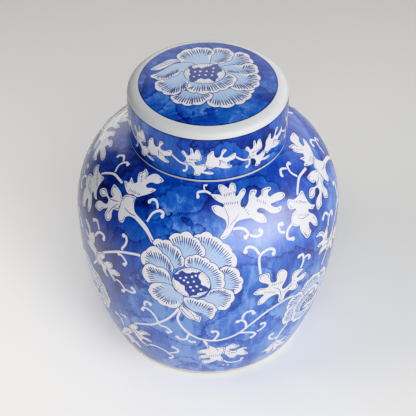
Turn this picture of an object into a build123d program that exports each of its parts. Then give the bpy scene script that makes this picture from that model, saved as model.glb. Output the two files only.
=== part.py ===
from build123d import *
import os

# A lidded porcelain ginger jar: a turned body with a foot ring and a short neck,
# and a cap lid that drops over the neck and rests on a flat ledge on the shoulder.
# Millimetres, +Z up. The origin is at the centre of the foot's resting face.

# Driving dimensions: outside of the body
FOOT_RADIUS = 79.0
FOOT_LEAN = 26.0
BELLY_RADIUS = 104.6
BELLY_HEIGHT = 123.7
SEAT_RADIUS = 63.0
SEAT_HEIGHT = 190.0
SHOULDER_FALL = 18.0
LOWER_FOOT_PULL = 50.2
LOWER_BELLY_PULL = 33.0
UPPER_BELLY_PULL = 28.5
UPPER_SEAT_PULL = 27.0

# Driving dimensions: walls, foot ring and neck
WALL = 4.5
FLOOR_HEIGHT = 9.0
INSIDE_FOOT_RADIUS = 78.2
FLOOR_ROUND = 10.0
FOOT_RECESS = 4.0
FOOT_RING_INNER_RADIUS = 70.0
FOOT_RECESS_RADIUS = 68.0
FOOT_ROUND = 1.2
NECK_RADIUS = 55.0
NECK_TOP = 220.0
LIP_ROUND = 1.8
UNDER_SEAT = 5.5
THROAT_ROUND = 3.0

# Driving dimensions: lid
TOTAL_HEIGHT = 240.0
LID_RADIUS = 61.5
LID_RIM_RADIUS = 61.0
LID_SIDE_TOP = 229.0
DISC_RADIUS = 52.8
DISC_EDGE_HEIGHT = 237.0
RIM_ROUND = 1.0
CEILING_RADIUS = 47.0
CEILING_EDGE_HEIGHT = 232.0
CEILING_HEIGHT = 234.6
LID_WALL_TOP = 221.0
DISC_EDGE_FALL = 12.5
DISC_EDGE_PULL = 4.9
SIDE_TOP_PULL = 5.2
INSIDE_CORNER_PULL = 6.5

# Worked out from the driving dimensions
MOUTH_RADIUS = NECK_RADIUS - WALL
LID_INSIDE_RADIUS = LID_RADIUS - WALL
INSIDE_BELLY_RADIUS = BELLY_RADIUS - WALL
CEILING_OF_BODY = SEAT_HEIGHT - UNDER_SEAT


def pulled(start, pull, angle):
    """Point at a distance from start, at an angle in degrees from the horizontal."""
    return Vector(start) + Vector(pull, 0).rotate(Axis.Z, angle)


def turned(outline):
    """Solid of revolution about +Z from a closed outline of (radius, height) edges."""
    section = Plane.XZ * make_face(outline)
    return revolve(section, Axis.Z)


def rounded(solid, round_size, height, *radii):
    """Round the solid's circular edges that have these radii at this height."""
    rings = [
        edge
        for edge in solid.edges().filter_by(GeomType.CIRCLE)
        if abs(edge.center().Z - height) < 0.01
        and any(abs(edge.radius - radius) < 0.01 for radius in radii)
    ]
    return fillet(rings, round_size)


def outer_wall():
    """Lower and upper curves of the body, from the foot over the belly to the seat."""
    foot = Vector(FOOT_RADIUS, 0)
    belly = Vector(BELLY_RADIUS, BELLY_HEIGHT)
    seat = Vector(SEAT_RADIUS, SEAT_HEIGHT)
    lower = Bezier(
        foot,
        pulled(foot, LOWER_FOOT_PULL, 90 - FOOT_LEAN),
        pulled(belly, LOWER_BELLY_PULL, -90),
        belly,
    )
    upper = Bezier(
        belly,
        pulled(belly, UPPER_BELLY_PULL, 90),
        pulled(seat, UPPER_SEAT_PULL, -SHOULDER_FALL),
        seat,
    )
    return [lower, upper]


def inner_wall():
    """Inside curves of the body, from the floor to the throat below the neck."""
    floor = Vector(INSIDE_FOOT_RADIUS, FLOOR_HEIGHT)
    belly = Vector(INSIDE_BELLY_RADIUS, BELLY_HEIGHT)
    throat = Vector(MOUTH_RADIUS + THROAT_ROUND, CEILING_OF_BODY)
    lower = Bezier(
        floor,
        pulled(floor, LOWER_FOOT_PULL - WALL, 90 - FOOT_LEAN),
        pulled(belly, LOWER_BELLY_PULL, -90),
        belly,
    )
    upper = Bezier(
        belly,
        pulled(belly, UPPER_BELLY_PULL, 90),
        pulled(throat, UPPER_BELLY_PULL, 0),
        throat,
    )
    throat_round = RadiusArc(
        throat, Vector(MOUTH_RADIUS, CEILING_OF_BODY + THROAT_ROUND), THROAT_ROUND
    )
    return [lower, upper, throat_round]


def make_jar_body():
    """Jar body: foot ring, bellied wall, lid seat and neck, in one fired piece."""
    underside = Polyline(
        (0, FOOT_RECESS),
        (FOOT_RECESS_RADIUS, FOOT_RECESS),
        (FOOT_RING_INNER_RADIUS, 0),
        (FOOT_RADIUS, 0),
    )
    neck = Polyline(
        (SEAT_RADIUS, SEAT_HEIGHT),
        (NECK_RADIUS, SEAT_HEIGHT),
        (NECK_RADIUS, NECK_TOP),
        (MOUTH_RADIUS, NECK_TOP),
        (MOUTH_RADIUS, CEILING_OF_BODY + THROAT_ROUND),
    )
    floor = Polyline(
        (INSIDE_FOOT_RADIUS, FLOOR_HEIGHT),
        (0, FLOOR_HEIGHT),
        (0, FOOT_RECESS),
    )
    body = turned([underside, *outer_wall(), neck, *inner_wall(), floor])
    body = rounded(body, FLOOR_ROUND, FLOOR_HEIGHT, INSIDE_FOOT_RADIUS)
    body = rounded(body, FOOT_ROUND, 0, FOOT_RADIUS, FOOT_RING_INNER_RADIUS)
    return rounded(body, LIP_ROUND, NECK_TOP, NECK_RADIUS, MOUTH_RADIUS)


def lid_top():
    """Shallow dome over the disc, then the plain shoulder that rolls into the side."""
    disc_edge = Vector(DISC_RADIUS, DISC_EDGE_HEIGHT)
    side_top = Vector(LID_RADIUS, LID_SIDE_TOP)
    dome = Bezier((0, TOTAL_HEIGHT), (DISC_RADIUS / 2, TOTAL_HEIGHT), disc_edge)
    shoulder = Bezier(
        disc_edge,
        pulled(disc_edge, DISC_EDGE_PULL, -DISC_EDGE_FALL),
        pulled(side_top, SIDE_TOP_PULL, 90),
        side_top,
    )
    return [dome, shoulder]


def lid_inside():
    """Inside of the cap: rolled corner above the wall and a shallow domed ceiling."""
    wall_top = Vector(LID_INSIDE_RADIUS, LID_WALL_TOP)
    ceiling_edge = Vector(CEILING_RADIUS, CEILING_EDGE_HEIGHT)
    corner = Bezier(
        wall_top,
        pulled(wall_top, INSIDE_CORNER_PULL, 90),
        pulled(ceiling_edge, INSIDE_CORNER_PULL, -DISC_EDGE_FALL / 2),
        ceiling_edge,
    )
    ceiling = Bezier(ceiling_edge, (CEILING_RADIUS / 2, CEILING_HEIGHT), (0, CEILING_HEIGHT))
    return [corner, ceiling]


def make_lid():
    """Cap lid: domed top, upright side and a flat rim that sits on the seat."""
    side_and_rim = Polyline(
        (LID_RADIUS, LID_SIDE_TOP),
        (LID_RIM_RADIUS, SEAT_HEIGHT),
        (LID_INSIDE_RADIUS, SEAT_HEIGHT),
        (LID_INSIDE_RADIUS, LID_WALL_TOP),
    )
    axis_line = Line((0, CEILING_HEIGHT), (0, TOTAL_HEIGHT))
    lid = turned([*lid_top(), side_and_rim, *lid_inside(), axis_line])
    return rounded(lid, RIM_ROUND, SEAT_HEIGHT, LID_RIM_RADIUS, LID_INSIDE_RADIUS)


os.makedirs("parts", exist_ok=True)
export_step(make_jar_body(), "parts/jar_body.step")
export_step(make_lid(), "parts/lid.step")
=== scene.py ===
import math
import random
import bpy
import numpy as np
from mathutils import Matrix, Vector
from mathutils.geometry import delaunay_2d_cdt


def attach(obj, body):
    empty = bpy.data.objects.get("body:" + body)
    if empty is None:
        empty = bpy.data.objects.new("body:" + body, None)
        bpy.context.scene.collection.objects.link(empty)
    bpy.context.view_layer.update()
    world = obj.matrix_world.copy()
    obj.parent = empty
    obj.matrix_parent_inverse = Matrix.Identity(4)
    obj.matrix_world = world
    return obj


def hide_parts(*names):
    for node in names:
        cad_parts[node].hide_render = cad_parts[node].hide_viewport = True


# A lidded blue-and-white ginger jar. Metres, +Z up, origin at the centre of the foot.
# The painted decoration is thin modelled glaze, drawn flat in millimetres and then
# wrapped on to the turned surfaces of the jar and the lid.

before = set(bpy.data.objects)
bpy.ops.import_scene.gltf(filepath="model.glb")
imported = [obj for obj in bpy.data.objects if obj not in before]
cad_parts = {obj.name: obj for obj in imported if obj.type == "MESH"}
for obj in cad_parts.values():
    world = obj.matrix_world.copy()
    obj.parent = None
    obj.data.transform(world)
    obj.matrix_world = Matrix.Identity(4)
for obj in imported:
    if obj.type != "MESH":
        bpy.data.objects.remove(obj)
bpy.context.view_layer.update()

MM = 0.001

# ---------------------------------------------------------------- turned outlines
# Outlines are (radius, height) in millimetres.

FOOT = (79.0, 0.0)
BELLY = (104.6, 123.7)
SEAT_HEIGHT = 190.0
SEAT = (63.0, SEAT_HEIGHT)
NECK_RADIUS = 55.0
MOUTH_RADIUS = 50.5
NECK_TOP = 220.0
LID_RADIUS = 61.5
LID_RIM_RADIUS = 61.0
LID_SIDE_TOP = 229.0
DISC_RADIUS = 52.8
DISC_EDGE = (DISC_RADIUS, 237.0)
TOTAL_HEIGHT = 240.0

# How far the curves of the wall follow their tangents, and the tangents' angles in degrees.
FOOT_LEAN = 64
SEAT_LEAN = -18
BELOW_BELLY = 33.0
ABOVE_BELLY = 28.5


def off(point, pull, angle):
    """Point at a distance from another, at an angle in degrees from the horizontal."""
    a = math.radians(angle)
    return (point[0] + pull * math.cos(a), point[1] + pull * math.sin(a))


def bezier(*handles, count=24):
    """Points along a Bezier curve of any degree."""
    t = np.linspace(0, 1, count)[:, None]
    degree = len(handles) - 1
    total = 0
    for k, handle in enumerate(handles):
        total = total + math.comb(degree, k) * t**k * (1 - t) ** (degree - k) * np.array(handle, float)
    return total


def arc(centre, radius, start, end, count=7):
    """Points along a circular arc; angles in degrees."""
    a = np.radians(np.linspace(start, end, count))
    return np.array(centre) + radius * np.stack([np.cos(a), np.sin(a)], 1)


def lengths(path):
    """How far along the path each of its points is."""
    return np.r_[0, np.cumsum(np.hypot(*np.diff(path, axis=0).T))]


LOWER_WALL = bezier(FOOT, off(FOOT, 50.2, FOOT_LEAN), off(BELLY, BELOW_BELLY, -90), BELLY, count=60)
UPPER_WALL = bezier(BELLY, off(BELLY, ABOVE_BELLY, 90), off(SEAT, 27.0, SEAT_LEAN), SEAT, count=60)
WALL = np.concatenate([LOWER_WALL, UPPER_WALL[1:]])
WALL_RUN = lengths(WALL)


# ---------------------------------------------------------------- surfaces to paint on
# Each takes flat millimetres and gives points in metres and the surface's normals.
# Angle 0 is the front, towards -Y, and grows towards +X.

def wrap(radius, height, normal_out, normal_up, angle):
    """Points and normals turned round the axis to their angles."""
    s, c = np.sin(angle), np.cos(angle)
    points = np.stack([radius * s, -radius * c, height], 1) * MM
    normals = np.stack([normal_out * s, -normal_out * c, normal_up], 1)
    return points, normals


def along_wall(v):
    """Radius and height at lengths along the wall's outline."""
    return np.array([np.interp(v, WALL_RUN, WALL[:, i]) for i in (0, 1)])


def on_body(flat):
    """u runs round the belly, v runs up the wall's outline from the foot."""
    u, v = flat.T
    v = np.clip(v, 0, WALL_RUN[-1])
    slope_r, slope_z = along_wall(v + 0.5) - along_wall(v - 0.5)
    size = np.hypot(slope_r, slope_z)
    return wrap(*along_wall(v), slope_z / size, -slope_r / size, u / BELLY[0])


def on_band(flat):
    """u runs round the lid's side, v runs up from its rim."""
    u, v = flat.T
    rise = np.clip(v / (LID_SIDE_TOP - SEAT_HEIGHT), 0, 1)
    radius = LID_RIM_RADIUS + (LID_RADIUS - LID_RIM_RADIUS) * rise
    return wrap(radius, v + SEAT_HEIGHT, np.ones_like(u), np.zeros_like(u), u / LID_RADIUS)


def on_disc(flat):
    """x and y are the plan view of the lid's domed top."""
    x, y = flat.T
    fall = TOTAL_HEIGHT - DISC_EDGE[1]
    square = (x**2 + y**2) / DISC_RADIUS**2
    points = np.stack([x, y, TOTAL_HEIGHT - fall * square], 1) * MM
    slope = 2 * fall / DISC_RADIUS**2
    normals = np.stack([x * slope, y * slope, np.ones_like(x)], 1)
    return points, normals / np.linalg.norm(normals, axis=1)[:, None]


# ---------------------------------------------------------------- drawing in the flat
# Motifs are drawn flat, in millimetres, as layers of (outline, paint), the last one on top.
# Random strokes come from numbered seeds, so each motif is the same every time.

WHITE, PALE, TINT, STROKE, LINE, HEART = range(6)
LINE_WIDTH = 0.6
VEIN_WIDTH = 0.65
STEM_WIDTHS = (2.1, 1.9)
SHOOT_WIDTHS = (1.9, 2.2)
SHOOT_KNOB = 1.75
PETAL_HEARTWARD = 0.45


def smooth(points, closed=False, step=1.0):
    """Round curve through the points; a point given twice in a row stays a corner."""
    p = np.array(points, float)
    n = len(p)
    if closed:
        p = np.concatenate([p[-1:], p, p[:2]])
    else:
        p = np.concatenate([p[:1], p, p[-1:]])
        n -= 1
    out = []
    for a, b, c, d in zip(p[:n], p[1:], p[2:], p[3:]):
        count = max(1, math.ceil(np.hypot(*(c - b)) / step))
        t = (np.arange(count) / count)[:, None]
        out.append(b + 0.5 * t * ((c - a) + t * (2 * a - 5 * b + 4 * c - d + t * (3 * (b - c) + d - a))))
    if not closed:
        out.append(p[-1:])
    out = np.concatenate(out)
    keep = np.hypot(*(out - np.roll(out, 1, 0)).T) > 1e-4
    keep[0] = True
    return out[keep]


def sideways(path, closed=False):
    """Unit vectors to the left of the path at each of its points."""
    if closed:
        along = np.roll(path, -1, 0) - np.roll(path, 1, 0)
    else:
        along = np.gradient(path, axis=0)
    along /= np.hypot(*along.T)[:, None] + 1e-9
    return np.stack([-along[:, 1], along[:, 0]], 1)


def winding(outline):
    """-1 for an outline that runs anticlockwise, 1 for the other way."""
    x, y = outline.T
    area = 0.5 * np.sum(x * np.roll(y, -1) - y * np.roll(x, -1))
    return -1 if area > 0 else 1


def grown(outline, by):
    """The closed outline pushed outwards by a distance."""
    return outline + by * winding(outline) * sideways(outline, True)


def disc(centre, radius, count=14):
    """Round outline."""
    angle = np.linspace(0, 2 * math.pi, count, endpoint=False)
    return np.array(centre) + radius * np.stack([np.cos(angle), np.sin(angle)], 1)


def ribbon(points, start, end, tip=0.0):
    """Brush stroke along the points, from one width to another, with a round tip."""
    path = smooth(points)
    far = lengths(path)
    width = start + (end - start) * far / far[-1]
    left = sideways(path) * width[:, None] / 2
    shapes = [np.concatenate([path + left, (path - left)[::-1]])]
    if tip:
        shapes.append(disc(path[-1], tip))
    return shapes


def vine(*points, widths=STEM_WIDTHS):
    """White stalk, from one width to another."""
    return [(shape, WHITE) for shape in ribbon(points, *widths)]


def tendrils(*shoots, widths=SHOOT_WIDTHS, knob=SHOOT_KNOB):
    """White curling shoots that each end in a round knob."""
    return [(shape, WHITE) for points in shoots for shape in ribbon(points, *widths, knob)]


def brush_line(points, width=VEIN_WIDTH):
    """Thin line that swells in the middle and runs out at both ends."""
    path = smooth(points)
    t = np.linspace(0, 1, len(path))
    half = sideways(path) * (width * np.sin(math.pi * (0.06 + 0.88 * t)) ** 0.6 / 2)[:, None]
    return (np.concatenate([path + half, (path - half)[::-1]]), LINE)


def lobe_lines(points, inset=1.2, reach=6, width=0.6):
    """Line just inside the tip of each lobe, open towards the middle of the leaf."""
    path = smooth(points, True)
    turn = winding(path)
    inner = path - turn * sideways(path, True) * inset
    clear = np.hypot(*(inner[:, None] - path[None]).transpose(2, 0, 1)).min(1) > 0.8 * inset
    span = 4
    a, b = path - np.roll(path, span, 0), np.roll(path, -span, 0) - path
    bend = -turn * (a[:, 0] * b[:, 1] - a[:, 1] * b[:, 0]) / (np.hypot(*a.T) * np.hypot(*b.T) + 1e-9)
    nearby = np.stack([np.roll(bend, k) for k in range(-span, span + 1)])
    layers = []
    for tip in np.flatnonzero((bend >= nearby.max(0)) & (bend > 0.5)).tolist():
        run = (tip + np.arange(-reach, reach + 1)) % len(path)
        run = run[clear[run]]
        if len(run) > reach:
            layers.append(brush_line(inner[run][::2], width))
    return layers


def outlined(points, line=LINE_WIDTH):
    """One closed white form with a thin dark line round it."""
    shape = smooth(points, True)
    return [(grown(shape, line), LINE), (shape, WHITE)]


def strokes_between(start, end, count, reach, seed):
    """Row of short brush strokes from start to end, each across the row."""
    rng = random.Random(seed)
    a, b = np.array(start, float), np.array(end, float)
    way = (b - a) / np.hypot(*(b - a))
    across = np.array([-way[1], way[0]])
    side = way * 0.4
    out = []
    for k in range(count):
        foot = a + (b - a) * (k + rng.uniform(-0.15, 0.15)) / max(1, count - 1)
        half = across * reach * rng.uniform(0.8, 1.3) / 2
        out.append((np.array([foot - half - side * 0.5, foot - side, foot + half, foot + side]), STROKE))
    return out


def leaf(points):
    """One outlined form with a fine line inside each lobe."""
    return outlined(points) + lobe_lines(points)


def sprig(leaves, veins, rows=(), seed=0):
    """Leaves with their veins, and rows of (start, end, strokes, reach) painted on top."""
    layers = [layer for points in leaves for layer in leaf(points)]
    layers += [brush_line(points) for points in veins]
    for k, row in enumerate(rows):
        layers += strokes_between(*row, seed + k)
    return layers


def scallop(valleys, bulge):
    """Lobed edge through the valleys; each lobe stands out to the left of the way along."""
    v = np.array(valleys, float)
    bulges = bulge if isinstance(bulge, list) else [bulge] * len(v)
    step = 0.9
    out = []
    for a, b, share in zip(v[:-1], v[1:], bulges):
        chord = b - a
        size = np.hypot(*chord)
        count = max(4, math.ceil(size / step))
        t = np.arange(count) / count
        lift = np.sin(math.pi * t) ** 0.7 * (size * share)
        out.append(a + t[:, None] * chord + lift[:, None] * np.array([-chord[1], chord[0]]) / size)
    out.append(v[-1:])
    return np.concatenate(out)


def hatches(path, inward, length, gap, width, paint, rng):
    """Row of tapered strokes, blunt on the path and pointed the given ways."""
    far = lengths(path)
    count = max(2, round(far[-1] / gap))
    out = []
    for k in range(count):
        at = far[-1] * (k + 0.5 + rng.uniform(-0.14, 0.14)) / count
        foot = np.array([np.interp(at, far, path[:, i]) for i in (0, 1)])
        way = np.array([np.interp(at, far, inward[:, i]) for i in (0, 1)])
        way /= np.hypot(*way)
        side = np.array([-way[1], way[0]])
        reach = length * rng.uniform(0.75, 1.15) * (0.55 + 0.45 * math.sin(math.pi * (k + 0.5) / count))
        half = side * (width * rng.uniform(0.8, 1.15) / 2) * 0.8
        start = foot - way * reach * rng.uniform(0.0, 0.2)
        mid = foot + way * reach * 0.45
        tip = foot + way * reach
        out.append((np.array([start + half, start - half, mid - half, tip, mid + half]), paint))
    return out


def petal(valleys, base, bulge=0.2, margin=2.2, length=6.0, gap=2.1, width=1.1, seed=0, heart=None):
    """Peony petal: white lobed margin, pale inside, and a row of radial strokes between."""
    rng = random.Random(seed)
    inner_edge = smooth(base, step=1.5)
    outline = np.concatenate([scallop(valleys, bulge), inner_edge])
    spine = smooth(valleys)
    inward = -sideways(spine)
    if heart is not None:
        to_heart = np.array(heart) - spine
        to_heart = PETAL_HEARTWARD * to_heart / np.hypot(*to_heart.T)[:, None]
        inward = (1 - PETAL_HEARTWARD) * inward + to_heart
    trim = slice(2, -2) if len(spine) > 8 else slice(None)
    row = (spine + inward * margin)[trim]
    shade = (spine + inward * (margin + 0.4 * length))[trim]
    inside_margin = np.concatenate([shade, inner_edge])
    layers = [(grown(outline, LINE_WIDTH), LINE), (outline, WHITE), (inside_margin, PALE)]
    layers += hatches(shade, inward[trim], 1.3 * length, 1.4 * gap, 1.3 * width, TINT, rng)
    return layers + hatches(row, inward[trim], length, gap, width, STROKE, rng)


def petals(shapes, **style):
    """Petals from {seed: (valleys, base)}, or with bulge, margin and length too, each over the last."""
    layers = []
    for seed, shape in shapes.items():
        layers += petal(*shape, seed=seed, **style)
    return layers


def heart_of(ring, dark, dots, seed):
    """Ringed heart: white inner petals with short strokes round a dark patch with white dots."""
    rng = random.Random(seed)
    middle = ring.mean(0)
    rays = ring - middle
    white_edge, stroke_foot = 0.955, 0.91
    layers = [(ring, LINE), (middle + rays * white_edge, WHITE)]
    far = lengths(ring)
    step = 2.2
    for k in range(int(far[-1] / step)):
        at = (k + rng.uniform(0.3, 0.7)) * step
        foot = np.array([np.interp(at, far, rays[:, i]) for i in (0, 1)])
        side = np.array([-foot[1], foot[0]]) * 0.3 / np.hypot(*foot)
        reach = rng.uniform(0.76, 0.8)
        stroke = [foot * stroke_foot + side, foot * stroke_foot - side, foot * reach]
        layers.append((middle + np.array(stroke), STROKE))
    layers += [(grown(dark, 0.3), LINE), (dark, HEART)]
    return layers + [(disc(dot, rng.uniform(0.85, 1.1), 9), WHITE) for dot in dots]


def star_heart(centre, radius, turn=0.0, seed=0):
    """Heart with a three-pointed dark patch, as on the body's peonies."""
    star = [(-14.6, 6), (-9.8, 7.3), (-8.7, 9.7), (-6.7, 11.1), (-4.2, 9.3), (-0.7, 9.3), (1.1, 10.8),
        (3.4, 10.2), (7.7, 11.7), (5.5, 8.5), (5.3, 5.8), (7.2, 3.2), (7.2, -0.3), (9, -1.7),
        (11.1, -2.5), (14.4, -5.8), (11.1, -7.3), (7.7, -8.4), (4.7, -9.3), (3.9, -11.8), (0.9, -12),
        (-1.2, -14.3), (-2.3, -10.3), (-4.5, -7.5), (-4.7, -2.9), (-7.3, -1.8), (-9.5, 0.7),
        (-12.3, 1.9)]
    dots = [(-8.2, 4.2), (-3.9, 5.4), (0.7, 6.5), (2.1, 2.1), (-2.4, 0.9), (-0.5, -3.7), (4.3, -2.5),
        (7.4, -5.6), (1.5, -7.1), (-5.4, 2.4), (3.6, 7.9)]
    drawn_radius = 15.0
    c, s = math.cos(turn), math.sin(turn)
    spin = np.array([[c, s], [-s, c]]) * radius / drawn_radius
    place = [np.array(points, float) @ spin + np.array(centre) for points in (star, dots)]
    return heart_of(disc(centre, radius, 48), *place, seed)


# ---------------------------------------------------------------- peonies on the body

def main_peony():
    """The large peony on the body, with a bud that hangs below it."""
    heart = (-12.7, 130.9)
    bud = [(-20, 108), (-16.2, 103.4), (-10.6, 99.4), (-8.1, 96.2), (-5.3, 94.7), (-5.6, 91.2),
        (-6.6, 87.8), (-6.6, 87.8), (-10, 90), (-15, 91.6), (-18.8, 95.6), (-21.6, 100.6), (-21.3, 105)]
    folds = [
        [(-19.4, 106.9), (-16.2, 101.2), (-12.5, 97.5), (-10.6, 93.8), (-9.8, 90.6)],
        [(-20.9, 102.5), (-17.5, 96.9), (-13.8, 93.1), (-11.5, 91)],
    ]
    layers = leaf(bud)
    for points in folds:
        layers += [(shape, LINE) for shape in ribbon(points, 0.7, 0.35)]
    layers += petals({
        1: ([(-11.9, 170.6), (-5.7, 172.6), (3.9, 170.9), (11.9, 165.2), (18.9, 157.4), (21.0, 145.6)],
            [(19.7, 145.3), (16.2, 147.5), (12.8, 147.8), (8.8, 146), (0, 148), (-8, 156), (-12, 165)],
            [0.1, 0.28, 0.14, 0.2, 0.2], 2.6, 7.1),
        2: ([(-32.2, 166.6), (-23.1, 171.2), (-12.2, 169.7), (-5.6, 164.4), (-2.8, 155.9)],
            [(-5.6, 155), (-9.4, 156), (-14, 152), (-20, 152), (-21.9, 158), (-27.5, 161), (-30.5, 165)],
            [0.2, 0.3, 0.2, 0.22], 2.3, 7.1),
        3: ([(9.1, 144.1), (17.2, 145.3), (23.9, 136.2), (25.7, 127.8), (20.3, 118.6)],
            [(19.4, 123.8), (12.5, 125.6), (8, 133), (8, 140)],
            [0.22, 0.24, 0.22, 0.22], 2.0, 6.3),
        4: ([(-45.2, 159.4), (-37.2, 163.6), (-28.2, 161.2), (-20.5, 154.7), (-19.4, 145.9)],
            [(-22.5, 144.6), (-25, 143), (-27.5, 144), (-30, 150), (-35.6, 152), (-39, 156)],
            [0.28, 0.27, 0.22, 0.22], 2.0, 6.3),
        5: ([(-51.2, 139.1), (-49.7, 152), (-35.9, 153.2), (-28.8, 146.9), (-27.5, 139.4)],
            [(-31.9, 141), (-35.6, 141), (-39.4, 140), (-44.4, 141), (-48.8, 140)],
            [0.25, 0.36, 0.16, 0.2], 2.0, 6.6),
        6: ([(-16.9, 145.9), (-16.6, 153.6), (-12.5, 155), (-5, 154.4), (1.9, 150.3), (8.1, 143.8),
             (11.6, 135), (10.6, 125.6)],
            [(2.5, 125.6), (2.2, 132.5), (0, 137.5), (-3.8, 141.9), (-10, 145.3)],
            [0.16, 0.16, 0.27, 0.2, 0.2, 0.2, 0.16], 1.7, 5.8),
        7: ([(-46.6, 122.8), (-50.4, 136.9), (-39.4, 140.5), (-29.1, 135)],
            [(-28.1, 131), (-27.5, 126.9), (-32.5, 127), (-38.8, 126.1), (-43.8, 124.4)],
            [0.2, 0.27, 0.27], 2.9, 7.4),
        8: ([(-22.2, 105), (-32.8, 102.3), (-39.7, 105.9), (-45.3, 110.9), (-46.1, 116.9),
             (-38.8, 125.3)],
            [(-36.9, 126.2), (-32.5, 127), (-27.2, 125.9), (-25, 121.2), (-19.4, 117.2), (-19.1, 111.2),
             (-21.2, 106.2)],
            [0.22, 0.24, 0.16, 0.22, 0.18], 3.3, 6.9),
        9: ([(0.9, 122.6), (7.5, 125.5), (14.4, 124.1), (19.5, 117.5), (17.5, 109.4), (12.8, 101.9)],
            [(6.9, 103.1), (5, 107.5), (0, 110.6), (-6.2, 115), (-1.9, 117.5)],
            [0.24, 0.2, 0.22, 0.2, 0.14], 2.7, 6.6),
    }, heart=heart)
    layers += petals({
        10: ([(-18.4, 115.3), (-12.5, 115.6), (-8.1, 113.8), (-0.6, 110.9), (5.3, 106.2), (5.4, 99.4),
             (1.9, 91.6)],
            [(0, 94.4), (-4.4, 98.8), (-11.2, 100.9), (-16.2, 105.6), (-18.8, 111.2)],
            [0.06, 0.12, 0.24, 0.2, 0.22, 0.12], 2.2, 6.1),
    })
    return layers + star_heart(heart, 15.0)


def low_peony():
    """Second peony, lower on the body and turned the other way."""
    heart = (97.0, 71.5)
    style = dict(bulge=0.22, margin=1.9, length=4.8, gap=1.9, width=0.95, heart=heart)
    layers = petals({
        21: ([(104, 93), (111, 94.6), (118.6, 89.4), (123, 81.6), (119, 75)],
            [(113, 76), (108, 82), (103, 88)]),
        22: ([(81.6, 87.4), (84.4, 95), (92, 99), (101, 97.4), (108.4, 91), (109.6, 86)],
            [(104, 82), (96, 83), (88, 83)]),
        23: ([(119.6, 84), (125, 76), (123.6, 67), (116.4, 61.6)], [(111, 66), (111, 74), (114, 80)]),
        24: ([(69.4, 78.4), (68.6, 85.4), (75.4, 92), (84.4, 89.4)], [(86, 84), (83, 78), (77, 75)]),
        25: ([(73.4, 58.4), (66.8, 64.6), (67.4, 71.6), (70.4, 79.4)],
            [(77, 81), (80, 76), (80, 66), (77, 60)]),
        26: ([(121.4, 68), (119.4, 58.8), (111, 53.6), (103, 55.6)], [(103, 60), (107, 65), (113, 70)]),
        27: ([(80.4, 61.4), (77.4, 69.4), (79.4, 78.6), (86.8, 84.6), (96.6, 86), (105.4, 81.6),
             (109.4, 73)],
            [(106.4, 71), (104, 78), (97, 81), (90, 78.6), (87, 71), (87, 64)]),
    }, **style)
    layers += star_heart(heart, 9.8, turn=0.9, seed=2)
    layers += petals({
        28: ([(115.6, 62.4), (111.6, 54.6), (104, 51.6), (97.4, 56)], [(97, 61), (102, 63.4), (109, 66)]),
        29: ([(102.4, 58.6), (96.6, 50.4), (88, 51.4), (80.4, 56), (77.8, 64)],
            [(80, 69.6), (85, 64.6), (91, 61.4), (98, 61.4)]),
    }, **style)
    return layers


# ---------------------------------------------------------------- leaf sprigs on the body

def crown_sprig():
    """Upper-left sprig: cupped stem, crown of lobes and an antler leaf."""
    cup = [(-74, 187), (-73.6, 184.5), (-71.8, 180.8), (-68.6, 177), (-62.4, 174.5), (-56, 172),
        (-50.5, 168.3), (-45.5, 163), (-44, 160.4), (-46.4, 159.8), (-50.8, 164.4), (-57, 168.4),
        (-65.5, 171.8), (-71.8, 172), (-75.5, 169.5), (-75.8, 165.8), (-77.4, 164.2), (-80.5, 164.5),
        (-83.6, 168.3), (-84.9, 174.5), (-85.8, 179.5), (-84.9, 184.5)]
    crown = [(-95.2, 191.4), (-93.3, 192.9), (-90.5, 192.6), (-90.5, 195.1), (-91.8, 197.6),
        (-88, 196.4), (-84.3, 195.1), (-81.8, 197.3), (-84.3, 199.5), (-87, 202.6), (-87.4, 204.5),
        (-84.9, 206), (-84.9, 209.2), (-80.5, 208.3), (-76.8, 207), (-76.1, 202.6), (-75.2, 205.1),
        (-71.8, 208.9), (-66.8, 210.1), (-61.8, 209.5), (-54.3, 207.3), (-57.4, 204.5), (-60.5, 202.9),
        (-65.5, 202.6), (-69.3, 200.8), (-70.5, 198.3), (-67.4, 197.3), (-63, 198.6), (-57.4, 198.6),
        (-59.9, 195.8), (-64.3, 192.6), (-68.6, 190.1), (-73, 187.6), (-78, 187.6), (-84.9, 186.4)]
    antler = [(-84.9, 180.8), (-88, 181.4), (-91.1, 183.3), (-95.5, 184.5), (-100.5, 184.8),
        (-103.9, 184.5), (-103.6, 180.8), (-101.1, 177.6), (-97.4, 177), (-98, 175.1), (-101.8, 174.5),
        (-106.8, 176.4), (-109.9, 177), (-113.6, 175.1), (-115.5, 172), (-111.8, 170.1), (-107.4, 170.8),
        (-104.3, 173.3), (-100.5, 172.6), (-99.3, 170.8), (-100.5, 168.3), (-104.3, 167.3),
        (-108, 166.7), (-111.8, 163.9), (-112.4, 159.5), (-108, 158.9), (-104.3, 159.8), (-101.8, 163.3),
        (-98.6, 165.8), (-96.8, 167.6), (-97.4, 163.9), (-97.4, 160.8), (-93.6, 157.9), (-90.5, 159.2),
        (-89.3, 162.6), (-90.5, 165.8), (-90.5, 168.9), (-88.6, 170.1), (-84.9, 171.4)]
    veins = [
        [(-79.9, 175.8), (-73.6, 174.2), (-66, 174.2)],
        [(-88, 177), (-94, 175), (-101, 173.6)],
        [(-88, 175), (-92, 170), (-94.5, 163)],
    ]
    rows = [((-84, 189), (-72, 190), 7, 3.4), ((-82, 203), (-78, 199), 4, 3)]
    return sprig([antler, crown, cup], veins, rows, seed=1)


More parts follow.
